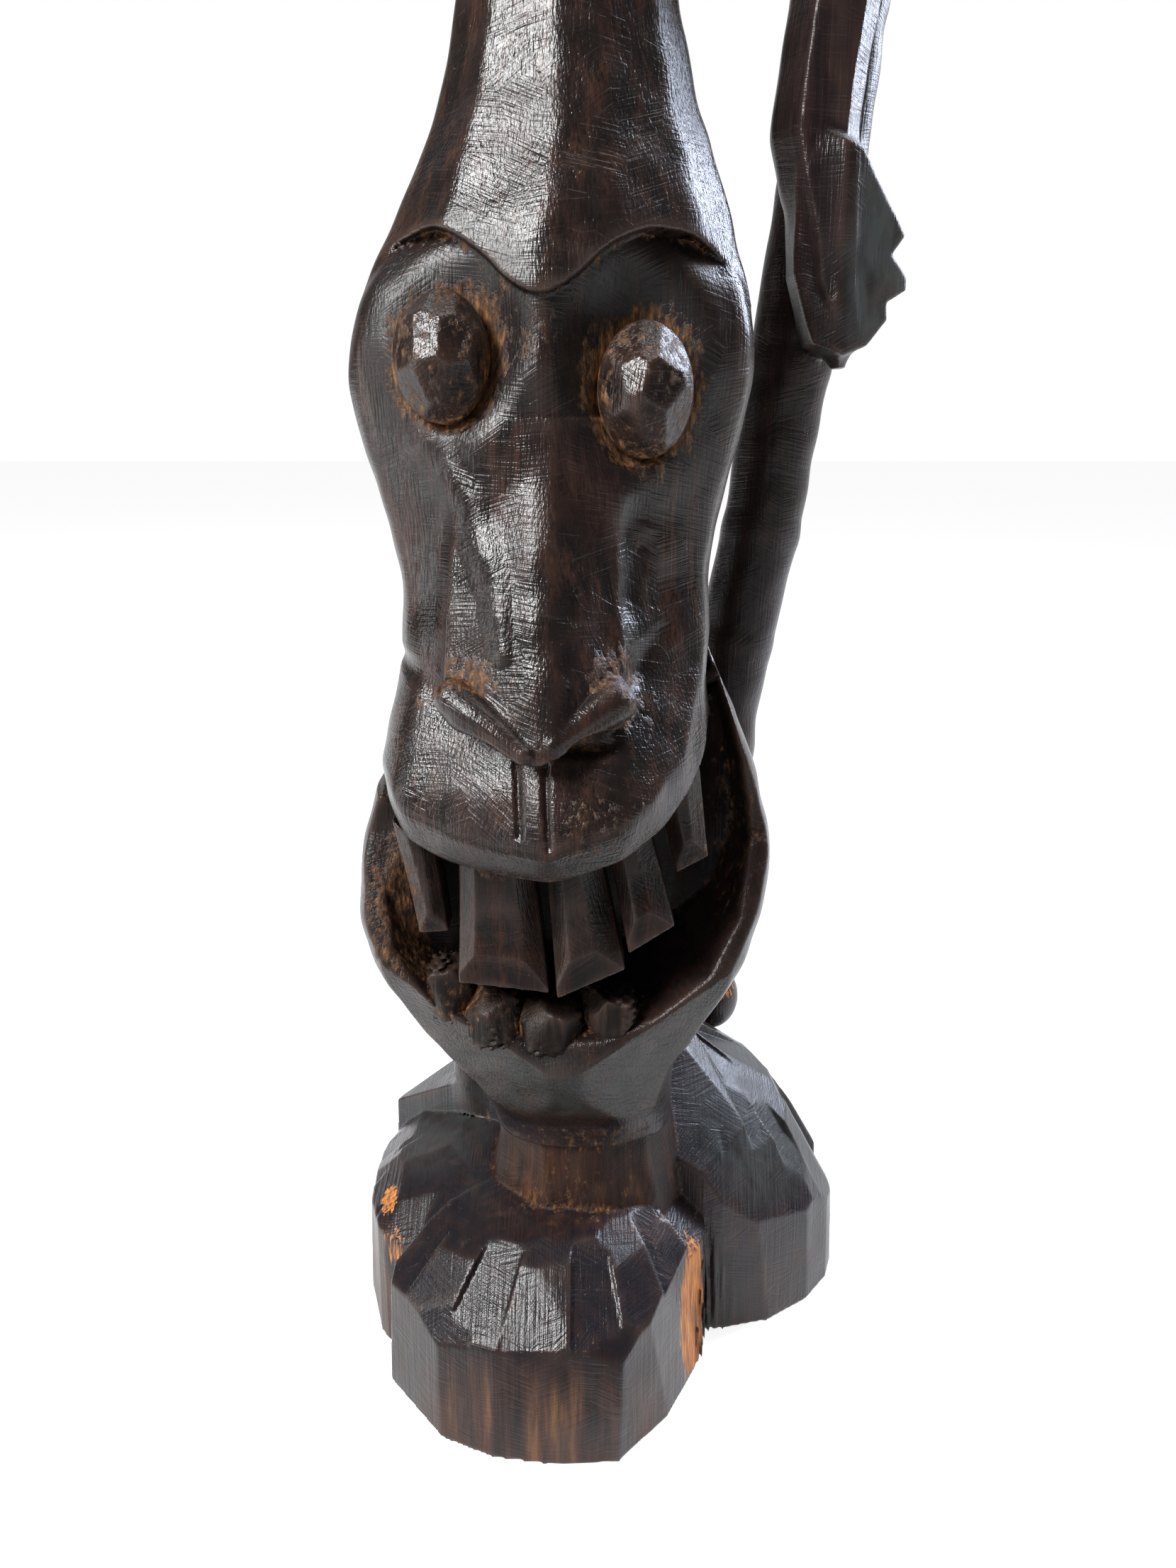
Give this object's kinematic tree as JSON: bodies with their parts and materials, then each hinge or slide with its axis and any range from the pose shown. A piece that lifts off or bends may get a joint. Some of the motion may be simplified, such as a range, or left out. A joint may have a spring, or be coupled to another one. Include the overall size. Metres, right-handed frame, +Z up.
{
  "type": "carved wooden ancestor figure",
  "caption": "Tall dark hardwood carving: a long grinning mask-like head with bulging eyes and big teeth on a chiselled base, with a slender small figure rising behind it.",
  "frame": {"origin": "centre of the figure's outline on the flat underside of the base", "axes": "X to the right of the big face, Y from the front of the big face toward its back, Z up"},
  "size_m": [0.163, 0.1638, 0.524],
  "materials": {
    "base_front": "oiled and hand-rubbed near-black African blackwood with brown streaks",
    "base_left": "oiled and hand-rubbed near-black African blackwood with brown streaks",
    "base_rear": "oiled and hand-rubbed near-black African blackwood with brown streaks",
    "base_right": "oiled and hand-rubbed near-black African blackwood with brown streaks",
    "body": "oiled and hand-rubbed near-black African blackwood with brown streaks",
    "cranium": "oiled and hand-rubbed near-black African blackwood with brown streaks",
    "crest": "oiled and hand-rubbed near-black African blackwood with brown streaks",
    "eye_left": "oiled and hand-rubbed near-black African blackwood with brown streaks",
    "eye_right": "oiled and hand-rubbed near-black African blackwood with brown streaks",
    "face": "oiled and hand-rubbed near-black African blackwood with brown streaks",
    "hips": "oiled and hand-rubbed near-black African blackwood with brown streaks",
    "jaw": "oiled and hand-rubbed near-black African blackwood with brown streaks",
    "left_leg": "oiled and hand-rubbed near-black African blackwood with brown streaks",
    "lower_tooth_far_left": "oiled and hand-rubbed near-black African blackwood with brown streaks",
    "lower_tooth_left": "oiled and hand-rubbed near-black African blackwood with brown streaks",
    "lower_tooth_middle": "oiled and hand-rubbed near-black African blackwood with brown streaks",
    "lower_tooth_right": "oiled and hand-rubbed near-black African blackwood with brown streaks",
    "neck": "oiled and hand-rubbed near-black African blackwood with brown streaks",
    "nose": "oiled and hand-rubbed near-black African blackwood with brown streaks",
    "right_foot": "oiled and hand-rubbed near-black African blackwood with brown streaks",
    "right_leg": "oiled and hand-rubbed near-black African blackwood with brown streaks",
    "small_chin": "oiled and hand-rubbed near-black African blackwood with brown streaks",
    "small_cranium": "oiled and hand-rubbed near-black African blackwood with brown streaks",
    "small_face": "oiled and hand-rubbed near-black African blackwood with brown streaks",
    "small_lips": "oiled and hand-rubbed near-black African blackwood with brown streaks",
    "small_nose": "oiled and hand-rubbed near-black African blackwood with brown streaks",
    "upper_lip": "oiled and hand-rubbed near-black African blackwood with brown streaks",
    "upper_tooth_far_left": "oiled and hand-rubbed near-black African blackwood with brown streaks",
    "upper_tooth_far_right": "oiled and hand-rubbed near-black African blackwood with brown streaks",
    "upper_tooth_left": "oiled and hand-rubbed near-black African blackwood with brown streaks",
    "upper_tooth_middle": "oiled and hand-rubbed near-black African blackwood with brown streaks",
    "upper_tooth_right": "oiled and hand-rubbed near-black African blackwood with brown streaks"
  },
  "bodies": {
    "root": {"base_front": "base_front", "base_left": "base_left", "base_rear": "base_rear", "base_right": "base_right", "body": "body", "cranium": "cranium", "crest": "crest", "eye_left": "eye_left", "eye_right": "eye_right", "face": "face", "hips": "hips", "jaw": "jaw", "left_leg": "left_leg", "lower_tooth_far_left": "lower_tooth_far_left", "lower_tooth_left": "lower_tooth_left", "lower_tooth_middle": "lower_tooth_middle", "lower_tooth_right": "lower_tooth_right", "neck": "neck", "nose": "nose", "right_foot": "right_foot", "right_leg": "right_leg", "small_chin": "small_chin", "small_cranium": "small_cranium", "small_face": "small_face", "small_lips": "small_lips", "small_nose": "small_nose", "upper_lip": "upper_lip", "upper_tooth_far_left": "upper_tooth_far_left", "upper_tooth_far_right": "upper_tooth_far_right", "upper_tooth_left": "upper_tooth_left", "upper_tooth_middle": "upper_tooth_middle", "upper_tooth_right": "upper_tooth_right"}
  },
  "joints": []
}
